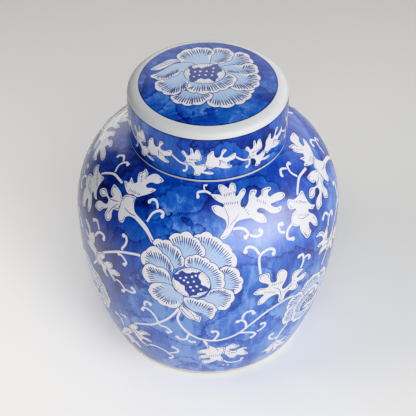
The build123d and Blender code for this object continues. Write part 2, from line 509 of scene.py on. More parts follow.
def double_crown():
    """Upper sprig right of the peony: a crown, a long antler leaf and a stem."""
    outline = [(10.2, 169.4), (13.2, 173.5), (16.2, 178.2), (15.8, 182), (13.1, 184.3), (10, 185.8),
        (6.2, 188.2), (3.5, 192.4), (6.2, 193.9), (10.8, 193.5), (14.6, 192), (15.8, 194.3),
        (10.8, 196.6), (6.2, 199.3), (3.5, 202.4), (7.7, 202.4), (12.3, 202), (15, 200.8), (13.8, 203.5),
        (11.9, 207.4), (13.1, 210), (16.9, 210), (20.8, 208.2), (23.8, 206.2), (26.2, 208.9),
        (29.2, 210.4), (32.7, 208.9), (32.3, 205.1), (30, 201.2), (29.2, 198.9), (32.3, 199.7),
        (35.4, 202), (39.2, 203.5), (41.9, 203.2), (41.5, 200.8), (38.5, 198.2), (34.6, 195.8),
        (32.3, 192.8), (32.7, 190), (36.9, 189.7), (40.8, 192.8), (43.1, 196.6), (45.4, 199.3),
        (48.5, 200.8), (53.8, 199.3), (51.5, 197), (49.6, 195.5), (51.5, 193.5), (54.6, 194.3),
        (56.9, 195.1), (59.2, 197.8), (63.8, 198.5), (69.6, 197.4), (69.2, 195.5), (65.4, 194.7),
        (63.1, 193.2), (63.8, 190.8), (68.5, 191.2), (74.6, 190.8), (79.2, 188.9), (79.6, 186.2),
        (74.6, 185.1), (70, 185.5), (64.6, 185.8), (61.5, 185.8), (62.3, 183.5), (66.2, 181.2),
        (70.8, 180.8), (68.5, 178.2), (63.8, 177.8), (58.5, 179.7), (54.6, 183.5), (50.8, 185.8),
        (47.7, 185.8), (45.8, 184.3), (46.9, 182.8), (50.8, 180.5), (52.3, 175.1), (47.7, 175.1),
        (43.1, 177.4), (39.2, 180.5), (33.8, 181.2), (27.7, 180.8), (23.8, 178.9), (21.8, 176.4),
        (19, 172.9), (16.2, 170.2), (13, 168.4)]
    veins = [
        [(15.8, 192.4), (17.7, 187.4), (18.8, 183.5), (17.7, 178.9), (15.4, 175.1)],
        [(29.2, 185.8), (24.6, 182), (20, 178.9), (18.5, 175.8)],
    ]
    rows = [
        ((18, 201), (29.5, 202), 7, 3.4),
        ((17, 194.5), (30, 194), 8, 3.0),
        ((35, 189), (38, 183.5), 4, 3.4),
        ((50, 192), (57, 188), 5, 3.6),
    ]
    return sprig([outline], veins, rows, seed=3)


def star_sprig():
    """Sprig to the right of the peony: two three-lobed leaves on an upright stalk."""
    outline = [(58.3, 95.3), (57.7, 98.3), (57.7, 103.7), (55.7, 105.7), (51.7, 106), (47.7, 104.3),
        (45, 101.7), (42.7, 100.3), (39.3, 101), (40, 105.7), (43, 109), (44.3, 110.3), (42.3, 111.7),
        (38.3, 112.3), (35.3, 114.7), (37.7, 117.3), (40.3, 118.7), (43.7, 117.7), (47, 117.3),
        (48, 119), (46.3, 121.7), (43, 123.7), (40.3, 126.3), (39.3, 129), (40.3, 132.3), (44.3, 132.7),
        (47.7, 131.7), (48.7, 127.7), (49, 123.7), (50.7, 120.7), (54.3, 120.3), (55, 122.3),
        (54.7, 126.3), (55.7, 129.7), (58.3, 130.7), (61.3, 129.3), (64, 125.7), (64.3, 122.3),
        (63.7, 119), (62.3, 115.7), (60.3, 112.3), (60.3, 109.7), (62.3, 108.3), (65, 109), (68.3, 111),
        (69.7, 113), (69.3, 117), (71, 121), (74.3, 121.3), (78.3, 120.3), (81.7, 117.7), (78.3, 116.7),
        (75, 114.3), (75, 112.3), (78.3, 112.3), (81.7, 113), (85.3, 111.7), (85, 108.3), (81.7, 107),
        (77.7, 107.7), (75, 107.3), (77, 103), (75, 100.3), (71.7, 101), (68.3, 103), (65.7, 103),
        (63.7, 100.3), (62.3, 95.3)]
    veins = [[(60.3, 97), (59.6, 104), (57.5, 110), (52, 115)], [(60.6, 103), (65, 106), (71, 108)]]
    rows = [
        ((45, 113), (54, 108.5), 6, 3.2),
        ((51, 118), (60, 117), 6, 3.0),
        ((67, 106), (72, 111), 4, 3.0),
    ]
    return sprig([outline], veins, rows, seed=7)


def low_sprig():
    """Sprig at the bottom of the body: a lobed flower and a fan leaf."""
    flower = [(-0.5, 56.5), (3, 55), (6, 52.5), (13, 52.5), (14.5, 51), (14, 42), (11.5, 41), (11.5, 38),
        (13.5, 33), (14, 27.5), (10, 29), (8, 31), (6, 29), (0, 25), (-4, 24), (-6, 28), (-4, 32),
        (1.5, 32), (1, 36), (-4, 34), (-8.5, 34), (-7, 39), (-2, 41), (-2, 43), (-8, 43), (-9.5, 46),
        (-6, 49), (-1, 51)]
    fan = [(15.5, 52), (20, 56), (22, 56), (24.5, 53.5), (27.5, 52), (26, 49.5), (22, 48), (19, 48.5),
        (19, 46), (24, 44), (28, 46.5), (33, 47), (35, 44), (31, 43), (33, 41), (37.5, 34), (32, 33.5),
        (27, 36), (24.5, 31.5), (20, 33), (17, 38), (15, 41), (14, 46)]
    veins = [[(6.5, 52.5), (9, 47)], [(16, 47), (21, 42), (26, 39.5)]]
    rows = [((-1, 38.5), (9, 39.5), 6, 3.2), ((19, 40), (26, 42), 4, 3.0)]
    stalk = vine((-3.5, 63), (-1.5, 59), (-0.5, 55), (2, 52), widths=(2.4, 2.4))
    return stalk + sprig([fan, flower], veins, rows, seed=11)


def hanging_sprig():
    """Sprig that hangs from the arched vine, with a broad lobe and two long ones."""
    outline = [(93.6, 180.2), (88, 179.6), (84.5, 180.2), (80.8, 182.2), (78.2, 180.5), (77.2, 178),
        (77.9, 175.4), (80.5, 174.3), (84.2, 173), (82.6, 171.8), (78.6, 170.8), (76, 168),
        (74.9, 164.6), (76.4, 162), (79.5, 160.2), (81.7, 160), (81.3, 155.5), (83.4, 150.5),
        (86.6, 145.6), (92, 148.2), (91.1, 152.5), (91.6, 156), (93.8, 156.5), (96.5, 152), (99, 149.5),
        (101.2, 149.6), (101.9, 154.5), (100, 159.2), (96, 163.5), (95.6, 165.4), (97.6, 165.8),
        (101, 163.6), (105.5, 164.6), (102.2, 166.8), (99.8, 170.5), (99.3, 175), (99.6, 181)]
    veins = [
        [(84, 153.5), (85.2, 150), (87.5, 148)],
        [(98.5, 158.5), (99.6, 155)],
        [(79.3, 178.3), (81, 176.2)],
        [(91, 177), (94, 173.5), (98.6, 171.5)],
        [(82.5, 167), (85.5, 163.5), (91, 162.4), (95, 162.2)],
    ]
    rows = [((82.5, 168), (95, 162.5), 8, 2.6), ((86, 178), (91, 175), 4, 2.6)]
    return sprig([outline], veins, rows, seed=13)


def side_sprig():
    """Sprig at the end of the middle vine: a toothed leaf each side of the stalk."""
    right = [(-101, 121), (-95.5, 125.6), (-91.2, 127.4), (-90.6, 124), (-93, 120.4), (-94.5, 118),
        (-91, 118), (-88, 121.4), (-82.3, 123.4), (-81.6, 120), (-84.6, 116), (-80, 118.2), (-75, 118),
        (-73.8, 115.6), (-78, 112.6), (-82, 111.6), (-79.6, 107.6), (-80.6, 105), (-84.6, 108.4),
        (-88, 112.6), (-90.6, 113), (-89.8, 110.4), (-91, 108.6), (-88.2, 105.6), (-90.6, 103.6),
        (-94.6, 106.8), (-96.2, 110.8), (-102, 110.4)]
    left = [(-103, 112), (-106, 116.4), (-111, 117.6), (-117.6, 118.6), (-116.4, 122.4), (-113, 124),
        (-114.4, 126.6), (-118.6, 127.2), (-120.8, 130.4), (-116.6, 130.6), (-112.6, 130.4),
        (-113.6, 134.4), (-117, 137.6), (-122, 139.6), (-118, 141.2), (-112.8, 139.2), (-109.8, 135),
        (-107.4, 137.4), (-104.2, 137.6), (-104.2, 132), (-105, 126), (-101, 122.6)]
    veins = [[(-103, 119), (-108, 122), (-113, 122)], [(-99, 118), (-91, 115.5), (-82, 114.5)]]
    rows = [((-110.5, 130), (-106, 126), 4, 3), ((-98, 121), (-93, 115), 5, 3)]
    stalk = vine((-101, 116), (-104, 110), (-110, 102), widths=(2.0, 1.8))
    return stalk + sprig([left, right], veins, rows, seed=15)


def foot_sprig():
    """Large sprig near the foot, at the end of the lower left vine."""
    right = [(-66.5, 61.8), (-63.4, 61.2), (-63.6, 58), (-66.6, 53.4), (-63.4, 53.6), (-60, 57.4),
        (-54, 58), (-51.4, 55), (-56, 53.4), (-60.8, 49.6), (-58, 48), (-53.6, 47.8), (-51.4, 44.6),
        (-56.4, 43.6), (-60.6, 44.2), (-63.4, 39.6), (-60.4, 37.4), (-56.6, 35.4), (-61, 33.8),
        (-65.6, 36.6), (-68.6, 42.6), (-70.4, 48.6), (-75, 50.8), (-73, 55.6)]
    left = [(-70.6, 47.6), (-75, 42), (-78.6, 37.4), (-75.6, 36.6), (-73.4, 34), (-76.6, 31.6),
        (-71.4, 31.4), (-70, 27), (-68.4, 22.4), (-72.6, 21.2), (-77.4, 25.6), (-80.4, 21.4),
        (-84.6, 19.4), (-84, 24.6), (-86.4, 28.2), (-92, 24.4), (-98.4, 22.6), (-94.6, 28.6),
        (-89.6, 34), (-86.4, 40), (-81.4, 45.4), (-75.4, 48.4)]
    veins = [[(-70, 54), (-66, 48), (-60.5, 46.5)], [(-76, 45), (-82, 37.5), (-89, 29)]]
    rows = [((-68, 52), (-64, 44), 5, 3), ((-83, 39), (-78, 34), 5, 3)]
    return sprig([left, right], veins, rows, seed=17)


def root_sprig():
    """Small sprig below the lower peony."""
    left = [(65.4, 38), (62, 35.6), (58.6, 30.6), (53.4, 27), (54.6, 24.8), (58.8, 24.6), (60.2, 20.4),
        (63, 18), (65.6, 21.6), (67.2, 27)]
    right = [(66, 38), (70, 35.2), (73.4, 33.4), (77.6, 34.6), (80.8, 32.4), (77, 29.8), (75.4, 27),
        (79.4, 24.6), (85.4, 19.6), (79.4, 19.8), (74.8, 21), (72.4, 16.4), (68.8, 16.4), (68, 22),
        (65.4, 28)]
    veins = [[(66, 33), (61, 28)], [(68, 33), (72, 27), (78, 22.5)]]
    return sprig([left, right], veins)


# ---------------------------------------------------------------- vines on the body

def upper_vines():
    """Stalks and tendrils on the shoulder."""
    layers = vine((-96.4, 189.8), (-104.3, 190.1), (-109.9, 190.1), (-114.9, 188.9), (-120.5, 185.8),
        (-125.5, 182), (-128, 177))
    layers += tendrils(
        [(-113.3, 191.4), (-115.8, 195.1), (-116.4, 197.6), (-114.9, 200.8), (-111.8, 202.9),
            (-108, 202.6)],
        [(-116.8, 201.4), (-120.5, 203.3), (-124.3, 203.6), (-127.4, 201.7), (-128.5, 200)],
        [(-48.3, 185.8), (-49.9, 188.9), (-53, 191.1), (-56.8, 190.8), (-58.6, 188.6)],
        [(-54.3, 173.9), (-53.3, 177), (-51.8, 180.8), (-48.6, 183.6), (-44.9, 184.8), (-41.4, 183.6),
            (-41.8, 181.4)],
        [(3.1, 202.8), (-1.5, 204.7), (-6.9, 204.7), (-11.5, 203.5), (-10.8, 200.5)],
    )
    layers += tendrils([(-4.2, 206.2), (-4.6, 209.7), (-2, 210.5)], knob=1.4)
    layers += tendrils(
        [(21.5, 175.1), (26.9, 175.1), (31.5, 173.5), (33.8, 169.7), (31.2, 167.4)],
        [(35.4, 168.2), (40, 166.2), (44.6, 166.6), (46.2, 168.9), (44.6, 169.7)],
    )
    return layers


def middle_vines():
    """Stalks and tendrils level with the peony."""
    layers = vine((-50, 145.8), (-56.3, 145.6), (-62.4, 144.2), (-69.7, 141.9), (-75.2, 139.4),
        (-80.8, 136.1), (-85.8, 132.8), (-90.2, 129.4), (-94.7, 125.6), (-98.6, 122.2))
    layers += tendrils(
        [(-71.3, 143), (-71.3, 145), (-69.1, 148.9), (-68.4, 152.8), (-69.8, 155.6), (-72.2, 155.6)],
        [(-75.5, 137.2), (-71.9, 138.1), (-68.6, 136.1), (-66.6, 133.3), (-68.6, 130.6)],
        [(-99.4, 145.3), (-101.3, 148.3), (-104.1, 150.6), (-106.9, 150), (-108.6, 148.6)],
        [(-103.3, 136.7), (-101.9, 140), (-99.1, 143.3), (-95.2, 144.7), (-91.9, 143.9), (-92.2, 141.4)],
        [(-78.6, 108.3), (-75.2, 108.3), (-71.9, 105.6), (-70.2, 102.2), (-72.4, 99.4)],
        [(-69.1, 103.3), (-65.2, 103.3), (-61.9, 103.9), (-59.7, 106.7), (-61.9, 108.9)],
        [(40.7, 133.7), (40.3, 138.3), (40, 145), (41, 149.7), (44.3, 152.3), (49.7, 153.3), (53.7, 151),
            (52.7, 148.3)],
        [(40.7, 151.7), (38.3, 156.3), (35, 159), (31, 159.3), (29.7, 156.3)],
        [(78.3, 121), (80.7, 125.7), (81, 130.3), (79.7, 134.3), (76.3, 134.3)],
        [(82.3, 129.7), (85.7, 129.7), (88, 127.7), (88, 125.7)],
        [(74.7, 164.3), (70.3, 162.3), (67.7, 159), (67.7, 155), (72.3, 152.7)],
        [(66.2, 161.2), (62.3, 162.8), (61.5, 166.6), (63.1, 168.9), (65.4, 168.2)],
    )
    return layers


def lower_vines():
    """Stalks and tendrils below the peony, down to the foot."""
    layers = vine((-22, 104), (-23, 101.5), (-27, 94), (-33, 86), (-40, 79), (-47, 73), (-55, 69),
        (-63, 65), (-66, 62))
    layers += vine((-21, 105), (-22, 98), (-24, 90), (-22, 82), (-18, 75), (-12, 69), (-5, 65), (5, 63),
        (15, 65), (25, 70), (35, 79), (45, 87), (53, 91), (60, 93), (68, 94), (75, 92))
    layers += vine((73.6, 57), (69.3, 50.7), (67.1, 45), (65.7, 40), (65, 36.4))
    layers += tendrils(
        [(-41.3, 78), (-41.3, 80), (-43, 84.8), (-46.1, 89.6), (-50, 91.7), (-53, 91.5), (-54.3, 88.3)],
        [(-51.6, 94.3), (-51.6, 97.8), (-49.1, 100.4), (-46.5, 98.7)],
        [(-39.6, 77), (-39.6, 75.2), (-35.2, 75.2), (-31.7, 72.6), (-30.4, 70), (-33.5, 68.7)],
        [(-14, 71), (-16.5, 69.1), (-17.8, 63.9), (-21.3, 62.2), (-24.8, 63), (-25.7, 64.8)],
    )
    layers += tendrils([(-16.5, 62.2), (-14.3, 60), (-11.3, 60.4)], knob=1.5)
    layers += tendrils(
        [(4, 63.5), (5.7, 65.7), (7.8, 70), (8.3, 73.5), (6.5, 76.1), (3.9, 75.7)],
        [(31, 74), (30.9, 77), (30.4, 82.2), (27.4, 86.5), (23.5, 85.7)],
        [(27.4, 88.3), (28.3, 92.6), (30.9, 95.2), (35.2, 95.2), (36.5, 92.2)],
        [(24, 70), (26.5, 70.4), (32.6, 68.7), (37.8, 66.5), (40.4, 63), (37.4, 60)],
        [(41.3, 66.5), (45.7, 68.3), (48.3, 71.7), (47.4, 75.2), (44.8, 75.2)],
        [(-56, 38), (-50, 40), (-44, 39.5), (-39, 37), (-36, 33), (-33, 30), (-36.5, 25.5)],
        [(-35.5, 35.5), (-31, 38), (-27, 41), (-27, 45), (-30.5, 47)],
        [(-83, 47), (-83, 56), (-88, 60)],
        [(-82, 64), (-76, 65)],
        [(14, 29.5), (17, 26), (21, 23.5), (27, 22.5), (31, 23), (32.5, 27)],
    )
    layers += [(disc((15, 19.5), 1.0, 9), WHITE), (disc((19.5, 19), 1.0, 9), WHITE)]
    layers += tendrils([(66, 43), (64.3, 43.6), (60, 44.3), (56.4, 47.9), (55.7, 51.4), (58.6, 52.9)])
    return layers


# ---------------------------------------------------------------- painting on the lid

def lid_peony():
    """Open peony on the lid's top, set a little off centre."""
    heart = (-2.6, 7.8)
    style = dict(margin=1.8, length=8.2, gap=2.1, width=1.3, bulge=0.24, heart=heart)
    narrow = [(-43, 17), (-42.8, 15), (-38, 14.4), (-33, 17), (-29.6, 20), (-24, 24), (-20.4, 24.6),
        (-24.4, 28), (-30, 27.6), (-36, 23)]
    veins = [[(-41, 16.6), (-34, 20.4), (-24, 25)], [(-37, 20.8), (-31, 24.6), (-25, 26.4)]]
    layers = sprig([narrow], veins)
    layers += petals({
        31: ([(34.2, -10), (31.8, -15.6), (28, -23.6), (19.8, -28.8), (8.8, -32), (-0.8, -27.6)],
            [(0, -24.6), (3.6, -20), (3.8, -15.4), (9.6, -12.4), (17, -10.8), (24, -12.6), (32, -9.6)]),
        32: ([(20.6, 36), (27.8, 37.4), (31.6, 30), (33.6, 22.2), (26.4, 19.4), (19.4, 16.6)],
            [(12, 14), (6, 18), (8, 24), (14, 31)]),
        33: ([(26, 19.6), (34.4, 21.8), (37.4, 15.6), (36, 9), (30.4, 8.4), (21.8, 7), (14.4, 8)],
            [(10, 11), (9, 16), (16, 19)]),
        34: ([(30, 7.8), (37.8, 8), (37.8, 0), (35.4, -8.2), (26.6, -11.8), (17.4, -10)],
            [(13, -7), (14, -2), (14, 4), (14, 9), (22, 9)]),
        36: ([(4, 42), (12, 43), (17.8, 39.4), (18, 30.4), (14, 24.4), (7.4, 21.4)],
            [(4, 17), (-3, 19), (-1, 31), (1, 38)]),
        35: ([(-22.5, 28), (-21, 37), (-12.5, 41.8), (-4.4, 43.6), (3.4, 40.5), (2.8, 33)],
            [(1, 21), (-4, 17), (-12, 17), (-20, 22)]),
        38: ([(-14.8, -4), (-17, -11.6), (-20.6, -14.4), (-28, -17.4), (-34, -13.2), (-39.4, -5),
             (-37, 0.4)],
            [(-33.6, 3), (-27, 8), (-21, 15), (-14, 13), (-11, 4), (-12, -2)]),
        37: ([(-21.6, 11), (-27.8, 5), (-34.4, 1.8), (-40, 4), (-43.4, 8)],
            [(-40, 9.4), (-34, 14), (-28, 20), (-22, 22.4), (-13, 22.4), (-9, 17), (-13, 12)]),
        39: ([(3.2, -18), (-1.6, -25.6), (-11, -29.6), (-19.6, -28), (-26.4, -23.4), (-27, -19)],
            [(-21, -18.4), (-18.6, -14), (-14, -14.6), (-8, -16.6), (-3, -18), (1, -16.6)]),
        40: ([(14.6, 6.4), (20, 4.4), (19.6, -3.4), (15.6, -8.8), (8.8, -12.6), (1.2, -15.6),
             (-8.2, -15.6), (-15.2, -12.4), (-15.4, -9)],
            [(-14.4, -4), (-13, -2.4), (-8, -5), (-2, -5.8), (4, -4.4), (9, 0), (12.4, 4)]),
    }, **style)
    ring = disc((0, 0), 1, 48) * np.array([16.0, 13.6]) + np.array(heart)
    dark = [(-12.8, 18.4), (-11.8, 14.6), (-9, 14.6), (-7.4, 15.8), (-4.6, 14.2), (-1.6, 16.4),
        (1.2, 17), (4, 19), (7, 20), (8.2, 16.4), (10.2, 13.6), (10.4, 11), (8, 9.4), (6.4, 6.6),
        (7.6, 3.2), (6, 0.4), (4.8, -3), (3, -1), (0.4, 1.2), (-2.4, 0.2), (-5, 1.6), (-7.6, 0.4),
        (-9, -1.6), (-12.4, -3), (-13.8, 1), (-14.2, 4), (-13, 7), (-14, 9.4), (-13.4, 12),
        (-14.8, 15.4)]
    dots = [(-9.8, 10), (-5.8, 10.4), (-1, 10.4), (3.8, 9.8), (4.2, 14.4), (-10.6, 3.6), (-6.6, 5.4),
        (-1.8, 5.6), (3, 5.2)]
    return layers + heart_of(ring, smooth(dark, True), dots, 3)


def band_unit():
    """One repeat of the lid's band: stem, crowned leaf and antler leaf."""
    crown = [(-17.6, 17.2), (-16.4, 20.4), (-16.8, 23.2), (-19.7, 26.4), (-18.7, 29), (-17.2, 28),
        (-15.2, 24.8), (-13, 26.2), (-12.9, 31.7), (-11.6, 31.9), (-10.2, 27.2), (-8.8, 30.9),
        (-6.8, 31), (-5.3, 26.8), (-4.7, 22.2), (-7.6, 20.4), (-10, 19.4), (-9.6, 17.2), (-8, 16.2),
        (-2.6, 18.2), (-1.3, 14), (-3.2, 11), (2, 10.7), (4.4, 8.8), (0.8, 8), (-5, 9.4), (-6.2, 7),
        (-10.6, 7), (-9.9, 11.4), (-12.6, 15.6)]
    antler = [(-2, 18), (-0.8, 22), (-0.7, 25.4), (1.6, 29), (4, 30.5), (4.6, 25.6), (6.8, 23.7),
        (9.2, 25.6), (10.4, 30.4), (12.2, 31.4), (13.7, 30), (10.9, 26), (11.4, 23.6), (14.8, 23.4),
        (19.4, 26.2), (21, 25), (19.6, 20.8), (14.6, 18.8), (14.4, 16.8), (18.1, 14.6), (16.2, 12.7),
        (10.6, 13.4), (5.8, 15.2), (1.8, 13.4), (-0.6, 15)]
    layers = vine((-28.2, 22.8), (-25, 20), (-21, 17.2), (-17, 16.4), (-13, 16.4), widths=(1.5, 1.5))
    layers += tendrils([(-16.2, 16.6), (-15.8, 14), (-16.2, 11), (-18, 9.7)], widths=(1.5, 1.3), knob=1.3)
    layers += outlined(antler, 0.35) + outlined(crown, 0.35)
    layers += lobe_lines(antler, 0.9, 4, 0.5) + lobe_lines(crown, 0.9, 4, 0.5)
    layers.append(brush_line([(-17, 17.6), (-13.4, 18.6), (-11, 17.6)], 0.5))
    layers.append(brush_line([(8.4, 22), (9, 19), (8.6, 16)], 0.7))
    layers += strokes_between((-13.6, 21.2), (-7.4, 21.6), 6, 2.2, seed=51)
    layers += strokes_between((9.4, 21), (12.6, 18.4), 4, 2.0, seed=52)
    return layers


# ---------------------------------------------------------------- materials

def srgb(r, g, b):
    """Linear colour from eight-bit display values."""
    values = [x / 255 for x in (r, g, b)]
    return (*[x / 12.92 if x <= 0.04045 else ((x + 0.055) / 1.055) ** 2.4 for x in values], 1.0)


def new_material(name):
    """A material, its node tree and its shader."""
    material = bpy.data.materials.new(name)
    material.use_nodes = True
    return material, material.node_tree, material.node_tree.nodes["Principled BSDF"]


def add(tree, kind, values):
    """New node, each of its inputs set or linked, by name or by number."""
    node = tree.nodes.new(kind)
    for key, value in values.items():
        if isinstance(value, bpy.types.NodeSocket):
            tree.links.new(value, node.inputs[key])
        else:
            node.inputs[key].default_value = value
    return node


def object_place(tree):
    """Each point's place in its piece, which is its place in the jar with the lid on."""
    return tree.nodes.new("ShaderNodeTexCoord").outputs["Object"]


def mapped(tree, place, **values):
    """The place moved by a Location or stretched by a Scale."""
    return add(tree, "ShaderNodeMapping", {"Vector": place, **values}).outputs["Vector"]


def noise(tree, place, scale, detail=3.0, roughness=0.6, distortion=0.0, offset=(0, 0, 0)):
    """Noise value at a place."""
    node = add(tree, "ShaderNodeTexNoise", {
        "Vector": mapped(tree, place, Location=offset), "Scale": scale, "Detail": detail,
        "Roughness": roughness, "Distortion": distortion})
    return node.outputs["Fac"]


def maths(tree, operation, *values):
    """One calculation on values or outputs."""
    node = add(tree, "ShaderNodeMath", dict(enumerate(values)))
    node.operation = operation
    return node.outputs[0]


def between(tree, value, low, high):
    """0 at low, 1 at high and a smooth step between."""
    node = add(tree, "ShaderNodeMapRange", {"Value": value, "From Min": low, "From Max": high})
    node.interpolation_type = "SMOOTHSTEP"
    return node.outputs["Result"]


def both(tree, a, b):
    """The product, which is where both hold."""
    return maths(tree, "MULTIPLY", a, b)


def ramp(tree, source, *stops):
    """Colour at the source's value, between (position, colour) stops."""
    node = add(tree, "ShaderNodeValToRGB", {"Fac": source})
    band = node.color_ramp
    band.elements[0].position, band.elements[0].color = stops[0]
    band.elements[1].position, band.elements[1].color = stops[-1]
    for position, colour in stops[1:-1]:
        band.elements.new(position).color = colour
    return node.outputs["Color"]


def bumpy(tree, shader, height, strength, distance):
    """Bump of a height value on the shader."""
    bump = add(tree, "ShaderNodeBump", {"Height": height, "Strength": strength, "Distance": distance})
    tree.links.new(bump.outputs["Normal"], shader.inputs["Normal"])


GLAZE_HAZE = 0.44
GLAZE_GLOSS = 0.16


def glaze_skin(tree, shader, gloss=GLAZE_GLOSS, sheen=0.5):
    """Clear fired glaze: a sharp coat over a hazy skin, with the slow waves of a thick coat."""
    shader.inputs["Roughness"].default_value = GLAZE_HAZE
    shader.inputs["IOR"].default_value = 1.45
    shader.inputs["Specular IOR Level"].default_value = sheen
    shader.inputs["Coat Weight"].default_value = 0.85
    shader.inputs["Coat Roughness"].default_value = gloss
    waves = noise(tree, object_place(tree), 38, detail=2.5, roughness=0.55)
    bumpy(tree, shader, waves, strength=0.08, distance=0.004)


def paint(name, colour, gloss=GLAZE_GLOSS):
    """One flat colour under the glaze."""
    material, tree, shader = new_material(name)
    shader.inputs["Base Color"].default_value = colour
    glaze_skin(tree, shader, gloss)
    return material


DARK_LINE = -0.5

# Where light and shade are painted into the wash, from and to, in metres: a painted reflection of the
# floor lightens the wall towards the foot, and painted shade darkens the shoulder under the lid and the
# left side.
PAINTED_FLOOR_REFLECTION_Z = (0.17, 0.04)
PAINTED_LID_SHADOW_Z = (0.155, 0.185)
PAINTED_LID_SHADOW_SEAT_Z = (0.192, 0.189)
PAINTED_LEFT_SHADE_X = (-0.045, -0.08)
PAINTED_LEFT_SHADE_Z = (0.02, 0.1)


def brush_patches(tree, place, crinkle, scale, steps, offset, width):
    """Overlapping patches: how far across each a place is, and 1 at its crinkled edge, fading inwards."""
    slow = noise(tree, place, scale, detail=1.5, roughness=0.45, distortion=0.3, offset=offset)
    level = maths(tree, "MULTIPLY_ADD", slow, steps, maths(tree, "MULTIPLY", crinkle, 0.5))
    across = maths(tree, "FRACT", level)
    fade = maths(tree, "MAXIMUM", maths(tree, "SUBTRACT", 1.0, maths(tree, "DIVIDE", across, width)), 0.0)
    return across, maths(tree, "POWER", fade, 2.2)


def cobalt_wash(name, depth, sheen, dark_lines):
    """Cobalt brushed on in overlapping patches: each patch pools dark along one edge, with a painted
    floor reflection and painted shade mixed in.
    """
    material, tree, shader = new_material(name)
    place = object_place(tree)
    x, _, z = add(tree, "ShaderNodeSeparateXYZ", {"Vector": place}).outputs
    crinkle = noise(tree, place, 130)
    across, edge = brush_patches(
        tree, place, crinkle, scale=11, steps=5.5, offset=(0.3, 0.1, 0.2), width=0.12)
    across_2, edge_2 = brush_patches(
        tree, place, crinkle, scale=13, steps=5, offset=(3.1, 1.7, 5.3), width=0.17)
    tone = noise(tree, place, 20, detail=2, roughness=0.5, distortion=0.5, offset=(1, 2, 3))
    blot = noise(tree, place, 34, detail=1.5, roughness=0.5, distortion=0.4, offset=(7, 3, 1))
    pool = between(tree, blot, 0.56, 0.68)
    streaks = noise(tree, mapped(tree, place, Scale=(1, 1, 0.22)), 160, distortion=0.6)
    grain = noise(tree, place, 600)
    # painted reflection: the wash is lighter towards the foot, standing in for the bright floor seen in
    # the glaze
    painted_floor_reflection = between(tree, z, *PAINTED_FLOOR_REFLECTION_Z)
    # painted shade: the wash is darker on the shoulder just under the lid, standing in for the lid's
    # shadow
    painted_lid_shadow = both(tree, between(tree, z, *PAINTED_LID_SHADOW_Z), between(tree, z, *PAINTED_LID_SHADOW_SEAT_Z))
    # painted shade: the wash is darker on the left side, away from the key light, from near the foot
    # upwards and on the lid's left part too
    painted_left_shade = both(tree, between(tree, x, *PAINTED_LEFT_SHADE_X), between(tree, z, *PAINTED_LEFT_SHADE_Z))
    # the painted reflection and the painted shade are weighted in here with the wash's own tones
    weights = [
        (painted_floor_reflection, 0.19), (painted_lid_shadow, -0.2), (painted_left_shade, -0.32), (tone, 0.95), (across, 0.16),
        (across_2, 0.14), (edge, -0.46), (edge_2, -0.34), (pool, -0.22), (streaks, 0.85), (grain, 0.3),
    ]
    for low, high in dark_lines:
        line = both(tree, maths(tree, "GREATER_THAN", z, low), maths(tree, "LESS_THAN", z, high))
        weights.append((line, DARK_LINE))
    shade = -depth
    for value, weight in weights:
        shade = maths(tree, "MULTIPLY_ADD", value, weight, shade)
    colour = ramp(
        tree, shade,
        (0.0, srgb(0, 8, 63)), (0.25, srgb(0, 30, 118)), (0.5, srgb(9, 62, 166)),
        (0.75, srgb(40, 98, 190)), (1.0, srgb(108, 148, 212)))
    tree.links.new(colour, shader.inputs["Base Color"])
    glaze_skin(tree, shader, sheen=sheen)
    return material


def biscuit():
    """Bare fired clay of the foot ring, the lip, the seat and the lid's rim."""
    material, tree, shader = new_material("bare_biscuit")
    place = object_place(tree)
    grain = noise(tree, place, 700, detail=5, roughness=0.65)
    stain = noise(tree, place, 45)
    tone = maths(tree, "MULTIPLY_ADD", grain, 0.5, maths(tree, "MULTIPLY", stain, 0.5))
    colour = ramp(tree, tone, (0.3, srgb(206, 203, 198)), (0.7, srgb(228, 226, 222)))
    tree.links.new(colour, shader.inputs["Base Color"])
    shader.inputs["Roughness"].default_value = 0.75
    bumpy(tree, shader, grain, strength=0.3, distance=0.0004)
    return material


# Heights in metres of the dark lines where a brush ran along a blue zone's border.
JAR_LINES = [(0.0032, 0.0044)]
LID_LINES = [(0.1923, 0.1934), (0.2298, 0.2312), (0.2369, 0.2371)]

# The body's wash carries a painted floor reflection and painted shade; the lid's carries the painted
# shade on its left.
COBALT_AND_PAINTED_LIGHT = cobalt_wash("cobalt_wash", depth=0.5, sheen=0.5, dark_lines=JAR_LINES)
LID_COBALT_AND_PAINTED_SHADE = cobalt_wash("cobalt_lid_and_painted_shade", depth=0.53, sheen=0.1, dark_lines=LID_LINES)
CHINA = paint("white_glaze", srgb(213, 214, 216), gloss=0.3)
BARE = biscuit()
PAINTS = [
    paint("petal_white", srgb(224, 224, 228)),
    paint("petal_pale", srgb(176, 197, 227)),
    paint("petal_tint", srgb(152, 178, 216)),
    paint("brush_blue", srgb(24, 52, 132)),
    paint("line_blue", srgb(34, 62, 142)),
    paint("heart_blue", srgb(24, 54, 144)),
]


# ---------------------------------------------------------------- from flat drawing to thin glaze

SUNK = -0.12
GRID = 3.0


def inside(points, outline):
    """Which points the outline winds round."""
    x, y = points.T
    turns = np.zeros(len(points), int)
    for (ax, ay), (bx, by) in zip(outline, np.roll(outline, -1, 0)):
        up = (ay <= y) & (by > y)
        down = (ay > y) & (by <= y)
        cross = (bx - ax) * (y - ay) - (x - ax) * (by - ay)
        turns += up & (cross > 0)
        turns -= down & (cross < 0)
    return turns != 0


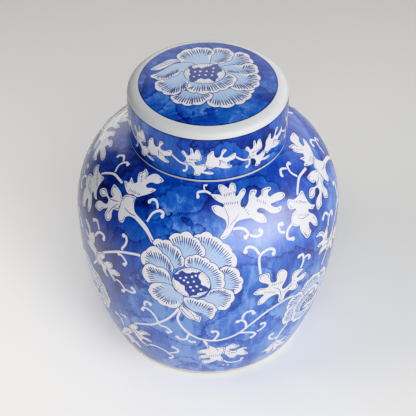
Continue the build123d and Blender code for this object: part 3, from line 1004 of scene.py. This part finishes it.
def grid_points(layers):
    """Points of a coarse grid that lie in the drawing, so that its triangles follow the wall."""
    corners = np.concatenate([outline for outline, _ in layers])
    low, high = np.floor(corners.min(0) / GRID) * GRID, corners.max(0)
    net = np.stack(np.meshgrid(*[np.arange(low[i], high[i], GRID) for i in (0, 1)]), -1).reshape(-1, 2)
    covered = np.zeros(len(net), bool)
    for outline, _ in layers:
        near = np.all((net > outline.min(0)) & (net < outline.max(0)), 1) & ~covered
        covered[near] = inside(net[near], outline)
    return net[covered]


def paints_seen(layers, centres):
    """The paint of the top layer at each place, or -1 where there is none."""
    paints = np.full(len(centres), -1)
    for outline, number in reversed(layers):
        near = np.all((centres > outline.min(0)) & (centres < outline.max(0)), 1)
        near = np.flatnonzero((paints < 0) & near)
        paints[near[inside(centres[near], outline)]] = number
    return paints


def triangulated(layers):
    """Points, triangles and each triangle's paint, for the layers seen from in front."""
    points, edges = [], []
    for outline, _ in layers:
        start, count = len(points), len(outline)
        points += [Vector(p) for p in outline]
        edges += [(start + i, start + (i + 1) % count) for i in range(count)]
    points += [Vector(p) for p in grid_points(layers)]
    verts, _, faces, *_ = delaunay_2d_cdt(points, edges, [], 0, 1e-4, False)
    verts = np.array([tuple(p) for p in verts])
    faces = np.array(faces)
    paints = paints_seen(layers, verts[faces].mean(1))
    faces, paints = faces[paints >= 0], paints[paints >= 0]
    used, faces = np.unique(faces, return_inverse=True)
    return verts[used], faces.reshape(-1, 3), paints


def new_piece(name, mesh, materials, numbers, body):
    """Smooth-shaded object of a mesh, with a material number for each of its faces."""
    for material in materials:
        mesh.materials.append(material)
    mesh.polygons.foreach_set("material_index", numbers)
    mesh.polygons.foreach_set("use_smooth", [True] * len(numbers))
    obj = bpy.data.objects.new(name, mesh)
    bpy.context.scene.collection.objects.link(obj)
    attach(obj, body)
    return obj


def glaze_relief(name, drawing, surface, proud, body, shift=0.0):
    """A triangulated drawing as a thin closed shell, shaded like the surface under it."""
    flat, faces, paints = drawing
    points, normals = surface(flat + np.array([shift, 0.0]))
    count = len(points)
    verts = np.concatenate([points + normals * proud * MM, points + normals * SUNK * MM])
    sides = {}
    for (a, b, c), number in zip(faces.tolist(), paints.tolist()):
        for side in ((a, b), (b, c), (c, a)):
            sides[side] = number
    rim = {(a, b): number for (a, b), number in sides.items() if (b, a) not in sides}
    quads = [(b, a, a + count, b + count) for a, b in rim]
    mesh = bpy.data.meshes.new(name)
    mesh.from_pydata(verts.tolist(), [], faces.tolist() + (faces[:, ::-1] + count).tolist() + quads)
    new_piece(name, mesh, PAINTS, paints.tolist() * 2 + list(rim.values()), body)
    mesh.validate()
    mesh.normals_split_custom_set_from_vertices(np.concatenate([normals, normals]).tolist())


# ---------------------------------------------------------------- turned pieces

SEGMENTS = 256
SHARP_ANGLE = 40
BLUE, GLAZE, CLAY = range(3)


def turned(name, runs, materials, body, node):
    """Solid of revolution from runs of (points, material number) that join end to end."""
    profile, bands = [], []
    for points, number in runs:
        points = np.array(points, float)[1 if profile else 0:]
        bands += [number] * (len(points) - (0 if profile else 1))
        profile += points.tolist()
    # the outline's first and last points lie on the axis, and the others make rings
    start, *rings, end = profile
    verts = [(0, 0, start[1] * MM)]
    for radius, height in rings:
        for k in range(SEGMENTS):
            a = 2 * math.pi * k / SEGMENTS
            verts.append((radius * math.sin(a) * MM, -radius * math.cos(a) * MM, height * MM))
    last, last_ring = len(verts), len(verts) - SEGMENTS
    verts.append((0, 0, end[1] * MM))
    faces = []
    for k in range(SEGMENTS):
        n = (k + 1) % SEGMENTS
        faces.append((0, 1 + n, 1 + k))
        for a in range(1, last_ring, SEGMENTS):
            b = a + SEGMENTS
            faces.append((a + k, a + n, b + n, b + k))
        faces.append((last, last_ring + k, last_ring + n))
    mesh = bpy.data.meshes.new(name)
    mesh.from_pydata(verts, [], faces)
    obj = new_piece(name, mesh, materials, bands * SEGMENTS, body)
    mesh.set_sharp_from_angle(angle=math.radians(SHARP_ANGLE))
    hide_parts(node)


def split_at(points, height):
    """The points below and above a height, both with a point at it."""
    heights = points[:, 1]
    at = np.array([[np.interp(height, heights, points[:, 0]), height]])
    return np.concatenate([points[heights < height], at]), np.concatenate([at, points[heights > height]])


def jar_outline():
    """Runs from the middle of the foot's recess out, up the wall, over the lip and down inside."""
    recess, recess_radius = 4, 68
    ring_inner, ring_foot = (69.4, 0.6), (70.8, 0)
    white_foot = 3.2
    seat_inner = 59
    lip = 1.8
    lip_height = NECK_TOP - lip
    inner_floor = (68.2, 9.0)
    inner_foot, inner_belly, throat = (78.2, 9.0), (100.1, 123.7), (53.5, 184.5)
    throat_round, throat_top = 3, 187.5
    low, high = split_at(LOWER_WALL[2:], white_foot)
    foot_pull, below = off(inner_foot, 45.7, FOOT_LEAN), off(inner_belly, BELOW_BELLY, -90)
    above, throat_pull = off(inner_belly, ABOVE_BELLY, 90), off(throat, 28.5, 0)
    inner_low = bezier(inner_foot, foot_pull, below, inner_belly, count=40)[6:]
    inner_high = bezier(inner_belly, above, throat_pull, throat, count=40)
    cove = bezier(inner_floor, (77.2, 9.0), inner_low[0], count=10)
    return [
        ([(0, recess), (30, recess), (60, recess), (recess_radius, recess)], GLAZE),
        ([(recess_radius, recess), ring_inner], GLAZE),
        (bezier(ring_inner, (69.8, 0), ring_foot, count=5), CLAY),
        ([ring_foot, (78, 0)], CLAY),
        (bezier((78, 0), (79.3, 0), tuple(LOWER_WALL[2]), count=6), CLAY),
        (low, GLAZE),
        (high, BLUE),
        (UPPER_WALL, BLUE),
        ([SEAT, (seat_inner, SEAT_HEIGHT)], BLUE),
        ([(seat_inner, SEAT_HEIGHT), (NECK_RADIUS, SEAT_HEIGHT)], CLAY),
        ([(NECK_RADIUS, height) for height in (SEAT_HEIGHT, 200, 210, lip_height)], GLAZE),
        (arc((NECK_RADIUS - lip, lip_height), lip, 0, 90), CLAY),
        (arc((MOUTH_RADIUS + lip, lip_height), lip, 90, 180), CLAY),
        ([(MOUTH_RADIUS, height) for height in (lip_height, 205, throat_top)], GLAZE),
        (arc((MOUTH_RADIUS + throat_round, throat_top), throat_round, 180, 270), GLAZE),
        (inner_high[::-1], GLAZE),
        (inner_low[::-1], GLAZE),
        (cove[::-1], GLAZE),
        ([inner_floor, (40, 9), (0, 9)], GLAZE),
    ]


def lid_outline():
    """Runs from the middle of the ceiling out under the rim and up over the top."""
    side_top = (LID_RADIUS, LID_SIDE_TOP)
    shoulder = bezier(DISC_EDGE, off(DISC_EDGE, 4.9, -12.5), off(side_top, 5.2, 90), side_top, count=26)
    white_edge = 231.0
    white, blue = shoulder[shoulder[:, 1] > white_edge], shoulder[shoulder[:, 1] <= white_edge]
    ring = SEAT_HEIGHT + 2.3
    rim_round = 1
    rim = SEAT_HEIGHT + rim_round
    wall_top, ceiling = (57.0, 221.0), (47.0, 232.0)
    corner = bezier(wall_top, off(wall_top, 6.5, 90), off(ceiling, 6.5, -6.25), ceiling, count=14)
    dome = bezier((0, TOTAL_HEIGHT), (DISC_RADIUS / 2, TOTAL_HEIGHT), DISC_EDGE, count=24)
    runs = [
        (dome, BLUE),
        (np.concatenate([[DISC_EDGE], white[1:], blue[:1]]), GLAZE),
        (blue, BLUE),
        ([side_top, (61.4, 220), (61.2, 205), (LID_RIM_RADIUS, ring)], BLUE),
        ([(LID_RIM_RADIUS, ring), (LID_RIM_RADIUS, rim)], GLAZE),
        (arc((LID_RIM_RADIUS - rim_round, rim), rim_round, 0, -90, 5), GLAZE),
        ([(60.0, SEAT_HEIGHT), (58.0, SEAT_HEIGHT)], CLAY),
        (arc((58.0, rim), rim_round, -90, -180, 5), CLAY),
        ([(57.0, rim), (57, 206), wall_top], GLAZE),
        (corner, GLAZE),
        (bezier(ceiling, (23.5, 234.6), (0, 234.6), count=16), GLAZE),
    ]
    return [(points[::-1], number) for points, number in runs[::-1]]


# ---------------------------------------------------------------- decoration

BODY_REPEATS = 3
BAND_REPEATS = 8
VINE_PROUD = 0.05
LEAF_PROUD = 0.08
FLOWER_PROUD = 0.11

BODY_MOTIFS = [
    (VINE_PROUD, [upper_vines, middle_vines, lower_vines]),
    (LEAF_PROUD, [crown_sprig, double_crown, star_sprig, low_sprig]),
    (LEAF_PROUD, [hanging_sprig, side_sprig, foot_sprig, root_sprig]),
    (FLOWER_PROUD, [main_peony, low_peony]),
]


def repeated(name, motif, surface, radius, repeats, proud, body):
    """The motif a number of times round, as pieces that end in 1, 2 and so on."""
    drawing = triangulated(motif())
    step = 2 * math.pi * radius / repeats
    for k in range(repeats):
        glaze_relief(f"{name}_{k + 1}", drawing, surface, proud, body, k * step)


def decorate():
    """The body's scroll three times round, the band's eight times, and one flower on top."""
    for proud, motifs in BODY_MOTIFS:
        for motif in motifs:
            repeated(motif.__name__, motif, on_body, BELLY[0], BODY_REPEATS, proud, "jar")
    repeated("band_sprig", band_unit, on_band, LID_RADIUS, BAND_REPEATS, LEAF_PROUD, "lid")
    glaze_relief("lid_peony", triangulated(lid_peony()), on_disc, FLOWER_PROUD, "lid")


# ---------------------------------------------------------------- floor, light and camera

JAR_MIDDLE = Vector((0, 0, 0.12))
SHINE_WAY = (0.88, -0.84, 0.3)
SHINE_DISTANCE = 1.3
NOT_JAR = ("lid", "band", "floor")
SKY_ENERGY = 0.6
SKY_SPREAD = 120
SKY_TILT = 40
WALL_GLOW = 0.44
DARK_GLOW = 0.13
FLOOR_SIZE = 16
CAMERA_PLACE = (0, -0.8828, 0.8876)
CAMERA_TILT = 48.671
CAMERA_LENS = 125.48


def floor():
    """Plain pale floor, wide enough to reach the horizon."""
    bpy.ops.mesh.primitive_plane_add(size=FLOOR_SIZE)
    obj = bpy.context.object
    obj.name = "floor"
    material, _, shader = new_material("pale_floor")
    shader.inputs["Base Color"].default_value = srgb(231, 230, 227)
    shader.inputs["Roughness"].default_value = 0.6
    shader.inputs["Specular IOR Level"].default_value = 0.0
    obj.data.materials.append(material)


def studio():
    """Pale room: bright wall behind and to the right, dark above and to the left."""
    world = bpy.data.worlds.new("studio")
    bpy.context.scene.world = world
    world.use_nodes = True
    tree = world.node_tree
    way = tree.nodes.new("ShaderNodeTexCoord").outputs["Generated"]
    x, y, z = add(tree, "ShaderNodeSeparateXYZ", {"Vector": way}).outputs
    behind = both(tree, between(tree, y, 0.0, 0.3), between(tree, x, -0.75, -0.5))
    right = between(tree, x, 0.25, 0.6)
    wall = both(tree, maths(tree, "MAXIMUM", behind, right), between(tree, z, 0.72, 0.62))
    back_left = both(tree, between(tree, y, 0.1, 0.35), between(tree, x, -0.5, -0.75))
    horizon = both(tree, between(tree, z, 0.1, 0.0), maths(tree, "MULTIPLY_ADD", back_left, -0.8, 1.0))
    level = maths(tree, "MULTIPLY_ADD", maths(tree, "MAXIMUM", wall, horizon), WALL_GLOW, DARK_GLOW)
    tree.links.new(level, tree.nodes["Background"].inputs["Strength"])
    tree.nodes["Background"].inputs["Color"].default_value = (0.97, 0.98, 1.0, 1)


def add_light(name, kind, energy):
    """A light's object, without a place yet."""
    data = bpy.data.lights.new(name, kind)
    data.energy = energy
    obj = bpy.data.objects.new(name, data)
    bpy.context.scene.collection.objects.link(obj)
    return obj


def area_light(name, way, distance, size, energy):
    """Rectangular light that faces the jar from a direction."""
    obj = add_light(name, "AREA", energy)
    obj.data.shape = "RECTANGLE"
    obj.data.size, obj.data.size_y = size
    way = Vector(way).normalized()
    obj.location = JAR_MIDDLE + way * distance
    obj.rotation_euler = way.to_track_quat("Z", "Y").to_euler()
    return obj


def light_only(light, objects):
    """The light falls on these objects and no others."""
    collection = bpy.data.collections.new(light.name)
    for obj in objects:
        collection.objects.link(obj)
    light.light_linking.receiver_collection = collection


def shine(name, way, distance, size, energy):
    """Light that shows only in the gloss of the jar's body."""
    light = area_light(name, way, distance, size, energy)
    light.visible_diffuse = False
    meshes = [obj for obj in bpy.data.objects if obj.type == "MESH"]
    light_only(light, [obj for obj in meshes if not obj.name.startswith(NOT_JAR)])


def lights():
    """Soft box at the front right with its shine, a back wall, a front fill, a sky and a floor fill."""
    area_light("key", (0.66, -0.59, 0.6), distance=1.25, size=(1.0, 0.8), energy=5)
    shine("shine_wide", SHINE_WAY, SHINE_DISTANCE, size=(1.8, 0.8), energy=22)
    shine("shine", SHINE_WAY, SHINE_DISTANCE, size=(0.95, 0.55), energy=22)
    shine("shine_core", SHINE_WAY, SHINE_DISTANCE, size=(0.55, 0.35), energy=14)
    shine("shine_back_left", (-0.52, 0.85, 0.28), distance=0.64, size=(0.44, 0.58), energy=1.15)
    wall = area_light("back_wall", (0.3, 0.93, 0.38), distance=1.6, size=(2.2, 1.3), energy=9)
    wall.visible_diffuse = False
    front = area_light("fill", (0.25, -1.1, 1.0), distance=1.6, size=(1.2, 1.2), energy=13)
    sky = add_light("sky", "SUN", energy=SKY_ENERGY)
    sky.data.angle = math.radians(SKY_SPREAD)
    sky.rotation_euler = (0, math.radians(SKY_TILT), 0)
    floor_fill = area_light("floor_fill", (-0.38, -0.1, 0.3), distance=0.5, size=(0.35, 0.35), energy=1.7)
    floor_fill.data.color = (1.0, 0.97, 0.97)
    light_only(floor_fill, [bpy.data.objects["floor"]])
    for light in (front, sky, floor_fill):
        light.visible_glossy = False


def camera():
    """Camera in front of the jar, looking down at it."""
    data = bpy.data.cameras.new("camera")
    data.sensor_width = 36
    data.lens = CAMERA_LENS
    obj = bpy.data.objects.new("camera", data)
    obj.location = CAMERA_PLACE
    obj.rotation_euler = (math.radians(CAMERA_TILT), 0, 0)
    bpy.context.scene.collection.objects.link(obj)
    bpy.context.scene.camera = obj


turned("jar_wall", jar_outline(), [COBALT_AND_PAINTED_LIGHT, CHINA, BARE], "jar", "jar_body")
turned("lid_cap", lid_outline(), [LID_COBALT_AND_PAINTED_SHADE, CHINA, BARE], "lid", "lid")
decorate()
floor()
studio()
lights()
camera()
bpy.context.scene.view_settings.view_transform = "Khronos PBR Neutral"
